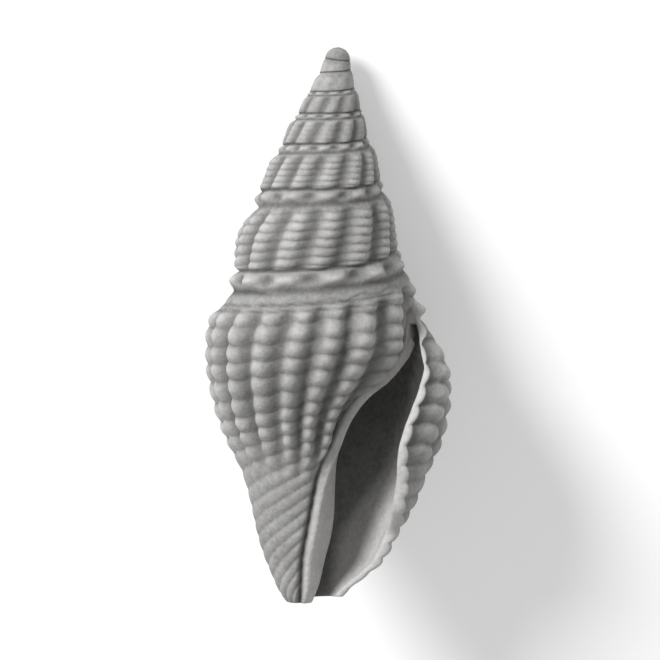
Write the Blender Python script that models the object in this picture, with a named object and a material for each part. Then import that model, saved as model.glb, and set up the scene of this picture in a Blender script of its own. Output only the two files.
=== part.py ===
"""Fossil clavatula shell: a slender, right-handed snail shell that lies on its back.

+X is the side of the shell that carries the mouth, +Y points to the apex and +Z points
up, out of the mouth. The shell rests on a small flat at z = 0. Sizes below are in
millimetres, and the finished mesh is in metres.

The whole form is told by growth. A turn counts the windings from the apex: at a whole
turn the spiral is on the right (+X), a quarter turn later it faces up (+Z), at the half
it is on the left. "Down" means along the axis, from the apex to the canal tip.
"""

import math

import bmesh
import bpy
import numpy as np

MM = 0.001

# Overall form.
LENGTH = 36.0
BOW = 0.61
# Lying on its back, the shell dips towards the apex, and a thin slice is cut off below.
DIP_DEGREES = 16.5
REST_CUT = 0.30

# Growth turns at which the form changes. The last whorl and its lip join one turn apart.
FIRST_TURN = 0.5
SUTURE_START = 1.5
BODY_TURN = 7.014
LIP_TURN = 8.014
GROOVES_SET_IN = (1.5, 2.5)
RIBS_SET_IN = (2.0, 3.6)
LEAN_RESTS = (6.85, 7.15)
LEAN_ENDS = (7.75, 7.95)
LIP_CURVES_FROM = 7.72

# The spiral: where the suture lies below the apex, and its radius there, by turn.
SUTURE_DOWN = [(1.5, 0.77), (2.5, 1.78), (3.5, 3.07), (4.5, 4.53), (5.5, 6.63), (6.0, 8.17),
               (6.5, 9.71), (7.0, 12.66), (7.5, 14.85), (8.014, 15.68)]
SUTURE_RADIUS = [(1.5, 0.80), (2.5, 1.03), (3.5, 1.55), (4.5, 2.07), (5.5, 2.83), (6.0, 3.50),
                 (6.5, 3.95), (7.0, 5.00), (7.5, 4.96), (8.014, 6.36)]
WHORL_HEIGHT = [(1.5, 1.01), (2.5, 1.29), (3.5, 1.46), (4.5, 2.10), (5.5, 3.08), (6.5, 5.15),
                (7.25, 6.50), (8.014, 6.50)]
# How a spire whorl widens from its upper suture (0) to its lower one (1). On the last
# spire whorl the left side swells more than the right side.
BULGE_LEFT = [(0.0, 0.0), (0.18, 0.10), (0.32, 0.38), (0.47, 0.80), (0.62, 1.02), (0.77, 1.05),
              (1.0, 1.0)]
BULGE_RIGHT = [(0.0, 0.0), (0.10, 0.08), (0.20, 0.28), (0.36, 0.52), (0.53, 0.68), (0.70, 0.79),
               (0.88, 0.92), (1.0, 1.0)]
SWELLS_BETWEEN = (5.7, 6.4)
SUTURE_GAP = 0.014
SUTURE_WIDTH = 0.16

# Outline of the last whorl by distance down: on the inner wall and pillar (turn 7), on
# the left (turn 7.5) and on the right, which ends in the lip (turn 8).
INNER_OUTLINE = [(12.66, 5.00), (14.0, 5.80), (15.68, 6.36), (17.5, 6.36), (18.4, 6.42),
                 (19.3, 6.25), (20.2, 5.80), (21.4, 4.89), (22.3, 3.85), (23.2, 3.05),
                 (24.3, 2.45), (25.6, 2.15), (27.2, 1.98), (29.8, 1.98), (31.4, 1.84),
                 (33.1, 1.45), (34.7, 1.10), (36.1, 0.60)]
LEFT_OUTLINE = [(14.0, 4.95), (15.0, 5.00), (16.3, 5.28), (17.4, 5.90), (18.2, 6.30),
                (19.0, 6.38), (20.6, 6.30), (22.7, 5.86), (25.9, 4.70), (27.5, 3.98),
                (29.2, 3.45), (32.2, 2.72), (34.3, 1.92), (35.5, 1.35), (36.1, 0.85)]
LIP_OUTLINE = [(15.68, 6.36), (16.6, 6.90), (18.2, 7.65), (19.2, 8.12), (20.2, 8.72),
               (22.0, 8.94), (24.0, 8.68), (26.0, 8.28), (29.2, 7.25), (31.4, 6.10),
               (33.2, 5.18), (34.0, 4.38), (35.0, 3.16), (35.7, 2.50)]
# Angle of the lip's edge from straight up, in degrees, by distance down.
LIP_ANGLE = [(15.68, 85.0), (17.5, 84.0), (18.6, 76.0), (21.3, 63.0), (22.7, 58.0),
             (25.3, 54.5), (27.7, 60.0), (29.5, 66.0), (31.6, 88.0), (36.0, 90.0)]
LIP_THICKNESS = [(17.4, 0.52), (19.0, 0.58), (21.5, 0.85), (25.0, 1.0), (29.0, 0.9),
                 (32.0, 0.75), (35.5, 0.55)]
# How far the hollow winds back inside, and where the canal ends, by turn.
HOLLOW_END = [(17.4, 6.70), (20.0, 6.62), (29.0, 6.62), (34.0, 6.80), (36.1, 6.85)]
HOLLOW_SHRINK = 0.35
RIM_FADE = 0.3
RIM_BULGE = 0.3
CANAL_END = [(6.8, 35.45), (7.014, 36.0), (7.5, 36.0), (7.7, 35.55), (7.84, 35.25), (8.014, 35.6)]

# Ribs and collar knobs: the running count of ribs by turn, and their relief.
RIB_COUNT = [(1.5, -37.0), (3.257, -22.0), (4.272, -12.0), (5.245, 0.0), (6.16, 12.0),
             (6.395, 15.0), (7.014, 26.0), (7.203, 29.0), (7.375, 32.0), (8.014, 43.5)]
KNOB_COUNT = [(1.5, -37.0), (3.245, -22.0), (4.26, -12.0), (5.26, 0.0), (6.145, 12.0),
              (6.43, 15.0), (7.12, 23.0), (7.40, 26.0), (8.014, 33.0)]
RIB_RELIEF = 0.42
KNOB_RELIEF = 0.36
GROOVE_DEPTH = 0.15
RIB_SHARPNESS = 2.5
# Their places on a whorl, as shares of its height: the knobs' row, the groove under it
# and where the ribs rise. On the last whorl a smooth band pushes the ribs down.
KNOBS_AT, KNOBS_WIDE, COLLAR_WIDE = 0.10, 0.06, 0.07
GROOVE_AT, GROOVE_WIDE = 0.205, 0.04
RIBS_RISE = (0.20, 0.36)
SMOOTH_BAND, BAND_SETS_IN = 0.11, (6.95, 7.12)
RIBS_FADE = (24.5, 28.5)
RIBS_START_ON_BODY = (7.014, 7.07)
RIB_LEAN_SPIRE = 0.035
RIB_LEAN_BODY = 0.0042
RIBS_STRAIGHT_FROM = 24.0
SIZE_RADIUS = 5.0

# Mesh rows of a whorl, as fractions of its height, and of the last whorl in millimetres.
WHORL_ROWS = np.array([0.0, 0.10, 0.20, 0.34, 0.50, 0.67, 0.84, 1.0])
CLOSED_ROWS = np.array([16.25, 16.85])
HOLLOW_TOP = 17.45
OPEN_ROWS = 18
WALL_COLUMNS = 8
CAP_COLUMNS = 4
RIM_COLUMNS = 2
APEX_ROWS = 3
APEX_ROUNDNESS = 0.55
ROW_CROWDING = 0.93
PLAIN_COLUMNS = (16, 39)


def curve(x, knots):
    """Smooth curve through the knots that never swings past them."""
    knot_x, knot_y = np.array(knots, dtype=float).T
    step = np.diff(knot_x)
    rise = np.diff(knot_y) / step
    product = rise[1:] * rise[:-1]
    total = rise[1:] + rise[:-1]
    total[total == 0.0] = 1.0
    inner = np.where(product > 0.0, 2.0 * product / total, 0.0)
    slope = np.concatenate(([rise[0]], inner, [rise[-1]]))
    x = np.clip(x, knot_x[0], knot_x[-1])
    k = np.clip(np.searchsorted(knot_x, x) - 1, 0, len(step) - 1)
    h = step[k]
    f = (x - knot_x[k]) / h
    return (knot_y[k] * (1 + 2 * f) * (1 - f) ** 2 + knot_y[k + 1] * f * f * (3 - 2 * f)
            + slope[k] * h * f * (1 - f) ** 2 - slope[k + 1] * h * f * f * (1 - f))


def ramp(x, low, high):
    """Rises smoothly from 0 at low to 1 at high."""
    f = np.clip((x - low) / (high - low), 0.0, 1.0)
    return f * f * (3.0 - 2.0 * f)


def bump(x, middle, width):
    """A rounded bump of height 1."""
    return np.exp(-((x - middle) / width) ** 2)


def place(turn, down, radius):
    """Puts points at a growth turn, a distance down the bowed axis and a radius."""
    angle = 2.0 * math.pi * (0.25 - turn)
    wave = math.pi * down / LENGTH
    lean = -BOW * math.pi / LENGTH * np.cos(wave)
    across = radius * np.sin(angle) / np.hypot(1.0, lean)
    x = -BOW * np.sin(wave) + across
    y = across * lean - down
    return np.stack(np.broadcast_arrays(x, y, radius * np.cos(angle)), axis=-1)


def bulge(turn, f):
    """Share of a spire whorl's widening at height f, between its left and right profile."""
    left = (1.0 - np.cos(2.0 * math.pi * turn)) / 2.0 * ramp(turn, *SWELLS_BETWEEN)
    return curve(f, BULGE_LEFT) * left + curve(f, BULGE_RIGHT) * (1.0 - left)


def body_radius(turn, down):
    """Plain last whorl: the three outlines, blended by turn with a parabola."""
    inner = curve(down, INNER_OUTLINE)
    left = curve(down, LEFT_OUTLINE)
    lip = curve(down, LIP_OUTLINE)
    f = np.clip((turn - 7.0) * 2.0, 0.0, 2.0)
    blend = (inner * (f - 1) * (f - 2) / 2 + left * f * (2 - f) + lip * f * (f - 1) / 2)
    return blend * (1.0 - HOLLOW_SHRINK * np.clip(7.0 - turn, 0.0, 1.0))


def rib_wave(count):
    """1 on a rib's crest and 0 in the groove beside it: wide ribs, narrow grooves."""
    return 1.0 - np.abs(np.sin(math.pi * count)) ** RIB_SHARPNESS


def relief(turn, growth, below):
    """Knobs, groove and ribs on a whorl, by distance below its own suture.

    growth is the turn that the ribs are counted by, because they lean as they go down.
    """
    size = curve(turn, SUTURE_RADIUS) / SIZE_RADIUS * ramp(turn, *RIBS_SET_IN)
    f = below / curve(turn, WHORL_HEIGHT)
    ribs = rib_wave(curve(growth, RIB_COUNT)) - 0.5
    band = SMOOTH_BAND * ramp(turn, *BAND_SETS_IN)
    rise = ramp(f - band, *RIBS_RISE)
    knobs = KNOB_RELIEF * bump(f, KNOBS_AT, KNOBS_WIDE) * (rib_wave(curve(turn, KNOB_COUNT)) - 0.5)
    collar = GROOVE_DEPTH * (0.5 * bump(f, KNOBS_AT, COLLAR_WIDE) - bump(f, GROOVE_AT, GROOVE_WIDE))
    return size * (RIB_RELIEF * rise * ribs + knobs + collar)


def lip_turn(down):
    """Turn at which the lip's edge stands."""
    return 8.25 - curve(down, LIP_ANGLE) / 360.0


def column_turns():
    """Growth turns of the mesh columns: evenly spaced, then three and four to a rib."""
    ribs_from = RIB_COUNT[1][0]
    fine = np.linspace(ribs_from, LIP_TURN, 4000)
    count = curve(fine, RIB_COUNT)
    first = np.linspace(FIRST_TURN, SUTURE_START, PLAIN_COLUMNS[0] + 1)[:-1]
    second = np.linspace(SUTURE_START, ribs_from, PLAIN_COLUMNS[1] + 1)[:-1]
    thirds = np.interp(np.arange(count[0], 0.0, 1.0 / 3.0), count, fine)
    quarters = np.interp(np.arange(0.0, count[-1] + 0.01, 0.25), count, fine)
    return np.concatenate((first, second, thirds, quarters))


def lean_window(turn):
    """1 where ribs lean, and 0 at the start, where the whorls join and at the lip."""
    low, high = LEAN_RESTS
    join = 1 - ramp(turn, low, BODY_TURN) + ramp(turn, BODY_TURN, high)
    return ramp(turn, *GROOVES_SET_IN) * join * (1 - ramp(turn, *LEAN_ENDS))


def suture_gap(turn):
    """Half of the narrow step at the suture, closed at the apex and at the lip."""
    open_part = ramp(turn, *GROOVES_SET_IN) * (1 - ramp(turn, LEAN_ENDS[1], LIP_TURN))
    return SUTURE_GAP * curve(turn, SUTURE_RADIUS) * open_part


def strip_points(columns, start):
    """The spiral strip between one suture and the next.

    From the column called start on, its lower edge is the level ring at the height
    where the suture meets the lip.
    """
    turn = columns[None, :]
    f = WHORL_ROWS[:, None]
    last = turn >= columns[start]
    real = turn + RIB_LEAN_SPIRE * (f - 1) * lean_window(turn)
    ring = SUTURE_DOWN[-1][1]
    top = curve(real, SUTURE_DOWN)
    bottom = np.where(last, ring, curve(real + 1.0, SUTURE_DOWN))
    high = top + suture_gap(real)
    low = bottom - np.where(last, 0.0, suture_gap(real + 1.0))
    down = high + (low - high) * f
    r_top = curve(real, SUTURE_RADIUS)
    r_bottom = np.where(last, body_radius(real, ring), curve(real + 1.0, SUTURE_RADIUS))
    share = bulge(real, f)
    share = share + (f - share) * ramp(turn, BODY_TURN, BODY_TURN + 0.2)
    radius = r_top + (r_bottom - r_top) * share
    radius = radius + relief(real, turn, down - top)
    upper = bump(down, top, SUTURE_WIDTH)
    lower = np.where(last, 0.0, bump(down, bottom, SUTURE_WIDTH))
    depth = GROOVE_DEPTH * r_top / SIZE_RADIUS * ramp(real, *GROOVES_SET_IN)
    radius = radius - depth * (upper + lower) * (1 - ramp(real, LEAN_ENDS[1] - 0.1, LIP_TURN))
    return place(real, down, radius)


def body_points(columns, downs):
    """Outer wall of the last whorl: one row for each distance down."""
    turn = columns[None, :]
    f = downs[:, None]
    end = curve(turn, CANAL_END)
    down = np.where(f > HOLLOW_TOP, HOLLOW_TOP + (f - HOLLOW_TOP) * (end - HOLLOW_TOP)
                    / (LENGTH - HOLLOW_TOP), f)
    leaning = np.minimum(down, RIBS_STRAIGHT_FROM) - SUTURE_DOWN[-1][1]
    real = turn + RIB_LEAN_BODY * leaning * lean_window(turn)
    real = real + (lip_turn(down) - LIP_TURN) * ramp(turn, LIP_CURVES_FROM, LIP_TURN)
    fade = (1 - ramp(down, *RIBS_FADE)) * ramp(turn, *RIBS_START_ON_BODY)
    radius = body_radius(real, down)
    radius = radius + relief(np.clip(real, 7.0, LIP_TURN), turn, down - curve(real, SUTURE_DOWN)) * fade
    return place(real, down, radius), down[:, 0], down[:, -1], radius[:, -1]


def hollow_points(start_down, lip_down, lip_radius):
    """Rim and hollow: from the lip's edge round the hollow and back to the pillar.

    Each row runs in along the lip's inner wall, round the hollow's end and out again
    along the pillar.
    """
    rows = len(start_down)
    inner_turn = lip_turn(lip_down)
    thickness = curve(lip_down, LIP_THICKNESS)
    rim = []
    for k in range(1, RIM_COLUMNS):
        swing = math.pi * k / RIM_COLUMNS
        r = lip_radius - thickness * (1 - math.cos(swing)) / 2
        advance = RIM_BULGE * thickness * math.sin(swing) / (2 * math.pi * r)
        rim.append(place(inner_turn + advance, lip_down, r))
    steps = np.linspace(0.0, 1.0, WALL_COLUMNS + 1)[None, :]
    wall_end = curve(lip_down, HOLLOW_END) + 1.0
    wall_turn = inner_turn[:, None] + (wall_end - inner_turn)[:, None] * steps
    wall_down = lip_down[:, None] + ((start_down + lip_down) / 2 - lip_down)[:, None] * steps
    mouth = body_radius(wall_turn, wall_down) - curve(wall_down, LIP_THICKNESS)
    rim_inner = (lip_radius - thickness)[:, None]
    wall_radius = mouth + (rim_inner - mouth[:, :1]) * (1 - ramp(steps, 0.0, RIM_FADE))
    pillar_turn = (wall_end - 1.0)[:, None] + (LIP_TURN - wall_end)[:, None] * steps
    pillar_down = wall_down[:, ::-1] + (start_down - lip_down)[:, None] * steps
    pillar_radius = body_radius(pillar_turn, pillar_down)
    outer_end = wall_radius[:, -1]
    inner_end = pillar_radius[:, 0]
    swing = np.linspace(0.0, math.pi, CAP_COLUMNS + 1)[None, 1:-1]
    middle = ((outer_end + inner_end) / 2)[:, None]
    half = ((outer_end - inner_end) / 2)[:, None]
    cap_radius = middle + half * np.cos(swing)
    cap_turn = pillar_turn[:, :1] - half * np.sin(swing) / (2 * math.pi * middle)
    cap_down = np.broadcast_to(pillar_down[:, :1], cap_radius.shape)
    wall = place(wall_turn, wall_down, wall_radius)
    cap = place(cap_turn, cap_down, cap_radius)
    pillar = place(pillar_turn, pillar_down, pillar_radius)[:, :-1]
    rim_grid = np.stack(rim, axis=1) if rim else np.zeros((rows, 0, 3))
    return np.concatenate((rim_grid, wall, cap, pillar), axis=1)


def grid_faces(index):
    """Two triangles for each cell of a grid of vertex numbers, without empty ones."""
    a, b = index[:-1, :-1].ravel(), index[:-1, 1:].ravel()
    c, d = index[1:, 1:].ravel(), index[1:, :-1].ravel()
    faces = np.concatenate((np.stack((a, b, c), 1), np.stack((a, c, d), 1)))
    return drop_empty(faces)


def drop_empty(faces):
    """Leaves out triangles that use a vertex twice."""
    a, b, c = faces.T
    return faces[(a != b) & (b != c) & (a != c)]


def zip_faces(upper, upper_at, lower, lower_at):
    """Triangles between two borders, taken in the order of their positions."""
    j = np.searchsorted(lower_at[1:], upper_at[1:], side="left")
    i = np.searchsorted(upper_at[1:], lower_at[1:], side="right")
    first = np.stack((upper[:-1], upper[1:], lower[j]), 1)
    second = np.stack((lower[1:], lower[:-1], upper[i]), 1)
    return drop_empty(np.concatenate((first, second)))


def shell_mesh():
    """All vertices in millimetres and all triangles of the shell."""
    columns = column_turns()
    start = int(np.argmin(np.abs(columns - BODY_TURN)))
    first = int(np.argmin(np.abs(columns - SUTURE_START)))
    count = len(columns)
    rows = len(WHORL_ROWS)
    strip = strip_points(columns, start)
    points = [strip.reshape(-1, 3)]
    index = np.arange(rows * count).reshape(rows, count)
    used = rows * count
    apex_join = index[0, 0]
    lip_join = index[-1, start]
    index[:, 0] = apex_join
    index[0, first] = apex_join
    index[:, -1] = lip_join
    faces = [grid_faces(index)]
    top = index[0, first:]
    top_at = columns[first:] - RIB_LEAN_SPIRE / 2
    top_at[0] = SUTURE_START
    bottom = index[-1, :start + 1]
    faces.append(zip_faces(bottom, columns[:start + 1] + 1.0, top, np.maximum.accumulate(top_at)))

    # Apex: rings up to the pole.
    ring = index[0, :first + 1]
    ring_turn = columns[:first + 1]
    level = SUTURE_DOWN[0][1]
    tall = level * (1 - np.arange(1, APEX_ROWS) / APEX_ROWS)[:, None]
    dome = SUTURE_RADIUS[0][1] * (1 - (1 - tall / level) ** 2) ** APEX_ROUNDNESS
    rings = place(ring_turn[None, :-1], tall, dome)
    points.append(rings.reshape(-1, 3))
    ring_index = used + np.arange(rings.shape[0] * rings.shape[1]).reshape(rings.shape[:2])
    ring_index = np.concatenate((ring_index, ring_index[:, :1]), axis=1)
    used += rings.shape[0] * rings.shape[1]
    points.append(place(np.zeros(1), np.zeros(1), np.zeros(1)))
    pole = np.full((1, first + 1), used)
    used += 1
    faces.append(grid_faces(np.concatenate((pole, ring_index[::-1], ring[None, :]))))

    # Last whorl: closed rows, then rows that open into the hollow.
    body_columns = columns[start:]
    shares = np.linspace(0, 1, OPEN_ROWS + 1) ** ROW_CROWDING
    open_rows = HOLLOW_TOP + (LENGTH - HOLLOW_TOP) * shares
    downs = np.concatenate((CLOSED_ROWS, open_rows))
    body, start_down, lip_down, lip_radius = body_points(body_columns, downs)
    points.append(body.reshape(-1, 3))
    body_index = used + np.arange(body.shape[0] * body.shape[1]).reshape(body.shape[:2])
    used += body.shape[0] * body.shape[1]
    outer = np.concatenate((index[-1:, start:], body_index))
    faces.append(grid_faces(outer))
    inside = hollow_points(start_down, lip_down, lip_radius)
    closed = len(CLOSED_ROWS)
    points.append(inside.reshape(-1, 3))
    inside_index = used + np.arange(inside.shape[0] * inside.shape[1]).reshape(inside.shape[:2])
    used += inside.shape[0] * inside.shape[1]
    pillar_edge = body_index[:, :1]
    lip_edge = body_index[:, -1:]
    rim = RIM_COLUMNS - 1
    face_rows = np.concatenate((lip_edge, inside_index[:, :rim + 1]), axis=1)
    face_rows[:closed, -1] = pillar_edge[:closed, 0]
    face_rows = np.concatenate((np.full((1, rim + 2), lip_join), face_rows))
    faces.append(grid_faces(face_rows))
    faces.append(np.array([[pillar_edge[closed - 1, 0], face_rows[closed + 1, -1],
                            pillar_edge[closed, 0]]]))
    hollow = np.concatenate((inside_index[closed:, rim:], pillar_edge[closed:]), axis=1)
    faces.append(grid_faces(hollow))
    half = hollow.shape[1] // 2
    ceiling = np.stack((hollow[0, :half + 1], hollow[0, ::-1][:half + 1]))
    faces.append(grid_faces(ceiling))

    # Canal tip: the end face between the outer wall and the hollow.
    chain = np.concatenate((hollow[-1, ::-1], inside_index[-1, :rim][::-1], lip_edge[-1]))
    end_turn = curve(np.array([LENGTH]), HOLLOW_END)[0] + 1.0
    inner_count = WALL_COLUMNS + CAP_COLUMNS
    at = np.concatenate((np.linspace(BODY_TURN, end_turn, inner_count + 1),
                         np.linspace(end_turn, LIP_TURN, len(chain) - inner_count)[1:]))
    faces.append(zip_faces(body_index[-1], body_columns, chain, at))
    return np.concatenate(points), np.concatenate(faces)


def make_material():
    """Dull grey chalky shell."""
    material = bpy.data.materials.new("fossil_shell")
    material.use_nodes = True
    shader = material.node_tree.nodes["Principled BSDF"]
    shader.inputs["Base Color"].default_value = (0.33, 0.32, 0.30, 1.0)
    shader.inputs["Roughness"].default_value = 0.75
    shader.inputs["Metallic"].default_value = 0.0
    return material


def make_shell(collection):
    """The shell, centred over the origin, with its lowest ribs just below z = 0."""
    points, faces = shell_mesh()
    dip = math.radians(DIP_DEGREES)
    turn_down = np.array([[1, 0, 0], [0, math.cos(dip), math.sin(dip)],
                          [0, -math.sin(dip), math.cos(dip)]])
    points = points @ turn_down.T
    low, high = points.min(axis=0), points.max(axis=0)
    centre = (low + high) / 2.0
    points = points - (centre[0], centre[1], low[2] + REST_CUT)
    mesh = bpy.data.meshes.new("shell")
    bm = bmesh.new()
    vertices = [bm.verts.new(point) for point in (points * MM).tolist()]
    for face in faces.tolist():
        bm.faces.new([vertices[k] for k in face])
    loose = [vertex for vertex in bm.verts if not vertex.link_faces]
    bmesh.ops.delete(bm, geom=loose, context="VERTS")
    bmesh.ops.recalc_face_normals(bm, faces=bm.faces)
    bm.to_mesh(mesh)
    bm.free()
    mesh.shade_smooth()
    shell = bpy.data.objects.new("shell", mesh)
    shell.data.materials.append(make_material())
    collection.objects.link(shell)
    return shell


def cut_rest_flat(shell, cutters):
    """Cuts the small flat that the shell rests on."""
    bpy.ops.mesh.primitive_cube_add(size=1.0, location=(0.0, 0.0, -0.01))
    cutter = bpy.context.object
    cutter.name = "rest_cutter"
    cutter.scale = (0.03, 0.05, 0.02)
    for owner in list(cutter.users_collection):
        owner.objects.unlink(cutter)
    cutters.objects.link(cutter)
    cutter.hide_render = True
    cutter.display_type = "WIRE"
    cut = shell.modifiers.new("rest_flat", "BOOLEAN")
    cut.operation = "DIFFERENCE"
    cut.solver = "EXACT"
    cut.object = cutter


def main():
    for item in list(bpy.data.objects):
        bpy.data.objects.remove(item, do_unlink=True)
    shell_collection = bpy.data.collections.new("clavatula_shell")
    cutter_collection = bpy.data.collections.new("cutters")
    for collection in (shell_collection, cutter_collection):
        bpy.context.scene.collection.children.link(collection)
    shell = make_shell(shell_collection)
    cut_rest_flat(shell, cutter_collection)


main()
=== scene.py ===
# %% [markdown]
# A fossil clavatula shell, one piece of chalky grey stone, lies on its back with its mouth up.
# The CAD model gives its size, its windings and its large ribs. This lesson works the same
# growth formulas out again on a much finer grid and adds what the eye looks for: fine cords
# that cross the ribs, the polished band along the pillar, the crenulated lip and the stone.

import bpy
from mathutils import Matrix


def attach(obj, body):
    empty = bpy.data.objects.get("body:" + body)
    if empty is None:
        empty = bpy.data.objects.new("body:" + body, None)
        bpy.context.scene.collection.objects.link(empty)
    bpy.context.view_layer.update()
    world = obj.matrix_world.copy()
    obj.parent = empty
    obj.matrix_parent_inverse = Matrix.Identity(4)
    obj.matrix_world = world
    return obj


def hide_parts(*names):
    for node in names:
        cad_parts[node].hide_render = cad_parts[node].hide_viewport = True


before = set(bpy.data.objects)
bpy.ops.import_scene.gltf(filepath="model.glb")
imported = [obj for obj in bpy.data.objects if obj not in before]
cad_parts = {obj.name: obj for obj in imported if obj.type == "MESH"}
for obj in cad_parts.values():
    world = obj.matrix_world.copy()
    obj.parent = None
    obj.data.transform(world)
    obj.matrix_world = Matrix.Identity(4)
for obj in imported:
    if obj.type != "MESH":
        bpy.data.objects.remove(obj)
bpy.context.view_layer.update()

# %% Tools and units
import math

import bmesh
import bpy
import numpy as np

MM = 0.001

# %% [markdown]
# A snail adds to its shell along one spiral, so everything here is told by two numbers: the
# turn, which counts the windings from the apex, and down, the distance along the axis from
# the apex in millimetres. At a whole turn the spiral is on the right, a quarter turn later
# it faces up, and at the half it is on the left. A shape could be sculpted by hand, but then
# each rib would be placed alone; a formula keeps the order that growth gives.

# %% Curves, ramps and bumps
def curve(x, knots):
    """Smooth curve through the knots that never swings past them: a cubic between two
    knots, whose slope at a knot is the harmonic mean of the two slopes that meet there."""
    knot_x, knot_y = np.array(knots, dtype=float).T
    step = np.diff(knot_x)
    rise = np.diff(knot_y) / step
    product = rise[1:] * rise[:-1]
    total = rise[1:] + rise[:-1]
    total[total == 0.0] = 1.0
    inner = np.where(product > 0.0, 2.0 * product / total, 0.0)
    slope = np.concatenate(([rise[0]], inner, [rise[-1]]))
    x = np.clip(x, knot_x[0], knot_x[-1])
    k = np.clip(np.searchsorted(knot_x, x) - 1, 0, len(step) - 1)
    h = step[k]
    f = (x - knot_x[k]) / h
    return (knot_y[k] * (1 + 2 * f) * (1 - f) ** 2 + knot_y[k + 1] * f * f * (3 - 2 * f)
            + slope[k] * h * f * (1 - f) ** 2 - slope[k + 1] * h * f * f * (1 - f))


def ramp(x, low, high):
    """Rises smoothly from 0 at low to 1 at high: three f squared less two f cubed."""
    f = np.clip((x - low) / (high - low), 0.0, 1.0)
    return f * f * (3.0 - 2.0 * f)


def bump(x, middle, width):
    """A rounded bump of height 1: e to the minus square of the distance over the width."""
    return np.exp(-((x - middle) / width) ** 2)


# %% The bowed axis
LENGTH = 36.0
BOW = 0.61


def place(turn, down, radius):
    """Points at a turn, a distance down the axis and a radius from it. The axis is bowed
    to the left by one arch of a sine, and the radius stands square to it."""
    angle = 2.0 * math.pi * (0.25 - turn)
    wave = math.pi * down / LENGTH
    lean = -BOW * math.pi / LENGTH * np.cos(wave)
    across = radius * np.sin(angle) / np.hypot(1.0, lean)
    x = -BOW * np.sin(wave) + across
    y = across * lean - down
    return np.stack(np.broadcast_arrays(x, y, radius * np.cos(angle)), axis=-1)


# %% [markdown]
# The suture is the seam where each winding meets the one before. Its place down the axis and
# its radius, read at eight or ten turns, carry the whole spire. The last winding is read as
# three outlines instead: at its inner wall, on the left, and on the right at the lip.

# %% The spiral
SUTURE_START = 1.5
BODY_TURN = 7.014
LIP_TURN = 8.014
SUTURE_DOWN = [(1.5, 0.77), (2.5, 1.78), (3.5, 3.07), (4.5, 4.53), (5.5, 6.63), (6.0, 8.17),
               (6.5, 9.71), (7.0, 12.66), (7.5, 14.85), (8.014, 15.68)]
SUTURE_RADIUS = [(1.5, 0.80), (2.5, 1.03), (3.5, 1.55), (4.5, 2.07), (5.5, 2.83), (6.0, 3.50),
                 (6.5, 3.95), (7.0, 5.00), (7.5, 4.96), (8.014, 6.36)]
WHORL_HEIGHT = [(1.5, 1.01), (2.5, 1.29), (3.5, 1.46), (4.5, 2.10), (5.5, 3.08), (6.5, 5.15),
                (7.25, 6.50), (8.014, 6.50)]
BULGE_LEFT = [(0.0, 0.0), (0.18, 0.10), (0.32, 0.38), (0.47, 0.80), (0.62, 1.02), (0.77, 1.05),
              (1.0, 1.0)]
BULGE_RIGHT = [(0.0, 0.0), (0.10, 0.08), (0.20, 0.28), (0.36, 0.52), (0.53, 0.68), (0.70, 0.79),
               (0.88, 0.92), (1.0, 1.0)]
SWELLS_BETWEEN = (5.7, 6.4)
RING = SUTURE_DOWN[-1][1]


def bulge(turn, f):
    """Share of a spire winding's widening at height f, from its upper seam at 0 to its
    lower one at 1. The left side swells more than the right on the last spire winding."""
    left = (1.0 - np.cos(2.0 * math.pi * turn)) / 2.0 * ramp(turn, *SWELLS_BETWEEN)
    return curve(f, BULGE_LEFT) * left + curve(f, BULGE_RIGHT) * (1.0 - left)


# %% The last winding
INNER_OUTLINE = [(12.66, 5.00), (14.0, 5.80), (15.68, 6.36), (17.5, 6.36), (18.4, 6.42),
                 (19.3, 6.25), (20.2, 5.80), (21.4, 4.89), (22.3, 3.85), (23.2, 3.05),
                 (24.3, 2.45), (25.6, 2.15), (27.2, 1.98), (29.8, 1.98), (31.4, 1.84),
                 (33.1, 1.45), (34.7, 1.10), (36.1, 0.60)]
LEFT_OUTLINE = [(14.0, 4.95), (15.0, 5.00), (16.3, 5.28), (17.4, 5.90), (18.2, 6.30),
                (19.0, 6.38), (20.6, 6.30), (22.7, 5.86), (25.9, 4.70), (27.5, 3.98),
                (29.2, 3.45), (32.2, 2.72), (34.3, 1.92), (35.5, 1.35), (36.1, 0.85)]
LIP_OUTLINE = [(15.68, 6.36), (16.6, 6.90), (18.2, 7.65), (19.2, 8.12), (20.2, 8.72),
               (22.0, 8.94), (24.0, 8.68), (26.0, 8.28), (29.2, 7.25), (31.4, 6.10),
               (33.2, 5.18), (34.0, 4.38), (35.0, 3.16), (35.7, 2.50)]
LIP_ANGLE = [(15.68, 85.0), (17.5, 84.0), (18.6, 76.0), (21.3, 63.0), (22.7, 58.0),
             (25.3, 54.5), (27.7, 60.0), (29.5, 66.0), (31.6, 88.0), (36.0, 90.0)]
HOLLOW_SHRINK = 0.35


def body_radius(turn, down):
    """Plain last winding: a parabola in the turn through its inner, left and lip outline."""
    inner = curve(down, INNER_OUTLINE)
    left = curve(down, LEFT_OUTLINE)
    lip = curve(down, LIP_OUTLINE)
    f = np.clip((turn - 7.0) * 2.0, 0.0, 2.0)
    blend = (inner * (f - 1) * (f - 2) / 2 + left * f * (2 - f) + lip * f * (f - 1) / 2)
    return blend * (1.0 - HOLLOW_SHRINK * np.clip(7.0 - turn, 0.0, 1.0))


def lip_turn(down):
    """Turn at which the lip's edge stands: 8.25 is straight up, less the lip's angle."""
    return 8.25 - curve(down, LIP_ANGLE) / 360.0


# %% [markdown]
# Each winding has the same order from its seam down: a row of oval knobs, a thin groove, and
# slanted ribs. They are waves in the turn. The count of ribs is itself a curve of the turn,
# because the ribs crowd near the apex and spread on the last winding.

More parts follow.
